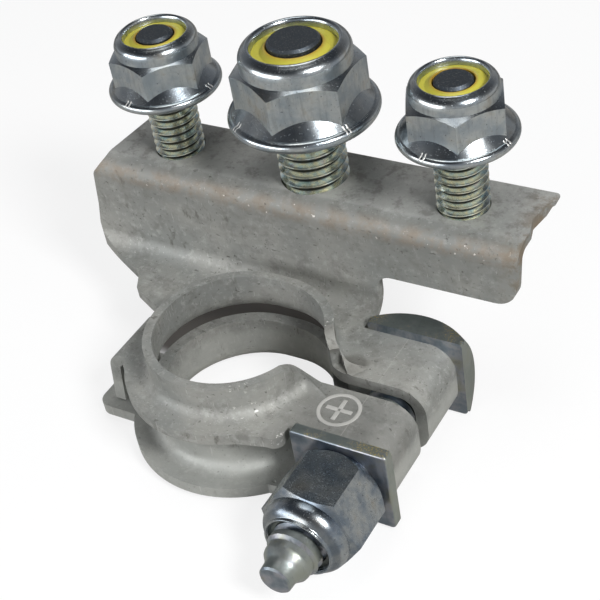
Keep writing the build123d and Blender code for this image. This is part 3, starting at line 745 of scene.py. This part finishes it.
def sign_bar(turn):
    deselect_all()
    reach = BAR_GAP + BAR_LENGTH / 2
    x = SIGN_CENTRE[0] + reach * cos(turn)
    y = SIGN_CENTRE[1] + reach * sin(turn)
    place = (x, y, ARM_TOP - SIGN_SUNK)
    bpy.ops.mesh.primitive_plane_add(size=1, location=place, rotation=(0, 0, turn))
    bar = bpy.context.object
    bar.scale = (BAR_LENGTH, BAR_WIDTH, 1)
    settle(bar)
    raise_face(bar)
    return bar


def polarity_sign(material):
    """A plus sign in a ring, raised on the top of the front arm."""
    parts = [sign_ring()] + [sign_bar(quarter * pi / 2) for quarter in range(4)]
    deselect_all()
    for part in parts:
        part.select_set(True)
    bpy.context.view_layer.objects.active = parts[0]
    bpy.ops.object.join()
    sign = bpy.context.object
    sign.name = "polarity_sign"
    settle(sign)
    smooth(sign)
    dress(sign, material)
    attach(sign, CLAMP)


# ------------------------------------------------------------------------------ put together
# deep and pale tone, and how satin the hex faces are
FLANGE_NUT_ZINC = ((0.36, 0.41, 0.45), (0.52, 0.55, 0.55))
FLANGE_NUT_SATIN = 0.16
PINCH_NUT_ZINC = ((0.22, 0.27, 0.33), (0.46, 0.49, 0.50))
PINCH_NUT_SATIN = 0.05
YELLOW = (0.50, 0.46, 0.055)
# the painted shade of the yellow rings, towards their opening
AMBER = (0.30, 0.15, 0.015)
AMBER_SPREAD = 0.25              # share of the ring's width that is amber
GREY_GREEN = (0.20, 0.23, 0.21)
# the painted shade of the grey ring, towards its opening
DARK_GREEN = (0.07, 0.085, 0.075)
PINCH_RING_SHADE = (3 * MM, 3.8 * MM)
RING_OPENINGS = {"left": 2.25, "middle": 3.08, "right": 2.25}   # millimetres

zinc_on_pinch_nut = bright_zinc("dark_bright_zinc", *PINCH_NUT_ZINC, "Y", PINCH_NUT_SATIN)
zinc_on_plate = zinc_plate()

dress(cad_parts["clamp_body"], Sheet().material())
dress(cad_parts["square_washer"], zinc_on_plate)
dress(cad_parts["pinch_nut"], zinc_on_pinch_nut)
for side in STUD_SIDES:
    name = f"bright_zinc_{side}"
    zinc = bright_zinc(name, *FLANGE_NUT_ZINC, "Z", FLANGE_NUT_SATIN, side)
    dress(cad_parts[f"nut_{side}"], zinc)
    threaded_stud(side, thread_zinc(side))
    ring = f"locking_ring_{side}"
    opening = RING_OPENINGS[side]
    rim = (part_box(ring)[1].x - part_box(ring)[0].x) / 2
    amber_to = (1 - AMBER_SPREAD) * opening * MM + AMBER_SPREAD * rim
    tone = nylon(f"yellow_nylon_{side}", YELLOW, AMBER, centre_of(ring), opening * MM, amber_to)
    bitten_ring(side, opening, tone)
threaded_pinch_bolt(zinc_on_plate)
pinch_axis = centre_of("pinch_locking_ring")
grey_nylon = nylon("grey_nylon", GREY_GREEN, DARK_GREEN, pinch_axis, *PINCH_RING_SHADE)
dress(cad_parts["pinch_locking_ring"], grey_nylon)
polarity_sign(sign_metal())


# ------------------------------------------------------------------------------ stage and light
FLOOR_SIZE = 6                   # metres
FLOOR_GLOW = 0.8                 # share of the floor's own light where it is seen
FLOOR_SEEN = (0.9, 0.9, 0.9)
FLOOR_SHADED = (0.12, 0.11, 0.10)
FLOOR_MIRRORED = (0.40, 0.39, 0.37)
# painted shade on the floor behind the bore: part of a ring round this centre
SHADE_CENTRE = (-3 * MM, 5 * MM, 0)
SHADE_RISE = (9.2 * MM, 11.2 * MM)
SHADE_FALL = (19 * MM, 17 * MM)
SHADE_RISE_Y = (3 * MM, 7 * MM)
SHADE_FALL_X = (7 * MM, 2 * MM)


def floor():
    """A plain floor: pale where it is seen, darker where the metal mirrors it, with painted shade
    behind the bore.
    """
    deselect_all()
    bpy.ops.mesh.primitive_plane_add(size=FLOOR_SIZE, location=(0, 0, FLOOR_Z - 0.02 * MM))
    plane = bpy.context.object
    plane.name = "floor"
    finish = Finish("floor_paint", roughness=0.9)
    seen = finish.node("ShaderNodeLightPath", output="Is Camera Ray")
    away = finish.distance_from(SHADE_CENTRE)
    shade = away.rise(*SHADE_RISE) * away.rise(*SHADE_FALL)
    shade = shade * finish.axis(finish.place, "Y").rise(*SHADE_RISE_Y)
    shade = shade * finish.axis(finish.place, "X").rise(*SHADE_FALL_X)
    share = seen * (1.0 - shade) * FLOOR_GLOW
    colour = finish.mix(seen, FLOOR_MIRRORED, finish.mix(shade, FLOOR_SEEN, FLOOR_SHADED))
    finish.feed(finish.shader.inputs["Base Color"], colour)
    glow = finish.node("ShaderNodeEmission", inputs={"Color": (1, 1, 1, 1), "Strength": 1.0})
    inputs = {0: share, 1: Amount(finish, finish.shader.outputs[0]), 2: glow}
    both = finish.node("ShaderNodeMixShader", inputs=inputs)
    output = next(node for node in finish.tree.nodes if node.type == "OUTPUT_MATERIAL")
    finish.tree.links.new(both.socket, output.inputs["Surface"])
    dress(plane, finish.material)


# place and size in metres, watts, and colour of each soft box
LAMPS = {
    "key": ((0.30, -0.11, 0.29), (0.10, 0.10), 1.8, (1.0, 1.0, 1.0)),
    "fill": ((-0.20, -0.32, 0.12), (0.45, 0.15), 0.95, (0.97, 0.98, 1.0)),
    "top": ((-0.03, 0.07, 0.42), (0.22, 0.22), 0.4, (1.0, 0.99, 0.97)),
}
LAMP_TARGET = (0, 0, 8 * MM)
# the dome's colour by the height of the direction, from the horizon up
DOME = [(0.0, (0.60, 0.60, 0.60)), (0.22, (0.42, 0.42, 0.43)), (0.7, (0.05, 0.055, 0.065))]


def soft_lamp(name, place, size, watts, colour):
    """A soft box that faces the clamp."""
    lamp = bpy.data.lights.new(name, "AREA")
    lamp.shape = "RECTANGLE"
    lamp.size, lamp.size_y = size
    lamp.energy = watts
    lamp.color = colour
    box = bpy.data.objects.new(name, lamp)
    bpy.context.scene.collection.objects.link(box)
    box.location = place
    aim = Vector(LAMP_TARGET) - Vector(place)
    box.rotation_euler = aim.to_track_quat("-Z", "Y").to_euler()


def studio():
    """A dome that is pale at the horizon and dark overhead, and three soft boxes."""
    world = bpy.data.worlds.new("studio")
    world.use_nodes = True
    nodes, links = world.node_tree.nodes, world.node_tree.links
    direction = nodes.new("ShaderNodeTexCoord")
    split = nodes.new("ShaderNodeSeparateXYZ")
    ramp = nodes.new("ShaderNodeValToRGB")
    Finish.set_stops(ramp.color_ramp, DOME)
    links.new(direction.outputs["Generated"], split.inputs[0])
    links.new(split.outputs["Z"], ramp.inputs[0])
    links.new(ramp.outputs[0], nodes["Background"].inputs["Color"])
    bpy.context.scene.world = world
    for name, lamp in LAMPS.items():
        soft_lamp(name, *lamp)


# where the camera stands and how it is turned, in millimetres and degrees
CAMERA_PLACE = (76.238, -89.539, 105.058)
CAMERA_AZIMUTH = 33.536
CAMERA_ELEVATION = 40.21
CAMERA_ROLL = -8.909
CAMERA_LENS = 82.566             # on a 36 mm wide sensor
CAMERA_SHIFT = (-0.0991, 0.0363)


def camera():
    turn, tilt, roll = (radians(a) for a in (CAMERA_AZIMUTH, CAMERA_ELEVATION, CAMERA_ROLL))
    forward = Vector((-sin(turn) * cos(tilt), cos(turn) * cos(tilt), -sin(tilt)))
    right = Vector((cos(turn), sin(turn), 0))
    up = right.cross(forward)
    across = cos(roll) * right + sin(roll) * up
    upright = cos(roll) * up - sin(roll) * right
    turned = Matrix((across, upright, -forward)).transposed().to_4x4()
    data = bpy.data.cameras.new("camera")
    data.lens = CAMERA_LENS
    data.sensor_width = 36
    data.sensor_fit = "HORIZONTAL"
    data.shift_x, data.shift_y = CAMERA_SHIFT
    data.clip_start = 5 * MM
    data.clip_end = 20
    stand = bpy.data.objects.new("camera", data)
    bpy.context.scene.collection.objects.link(stand)
    stand.matrix_world = Matrix.Translation(Vector(CAMERA_PLACE) * MM) @ turned
    bpy.context.scene.camera = stand


floor()
studio()
camera()
bpy.context.scene.view_settings.view_transform = "Standard"
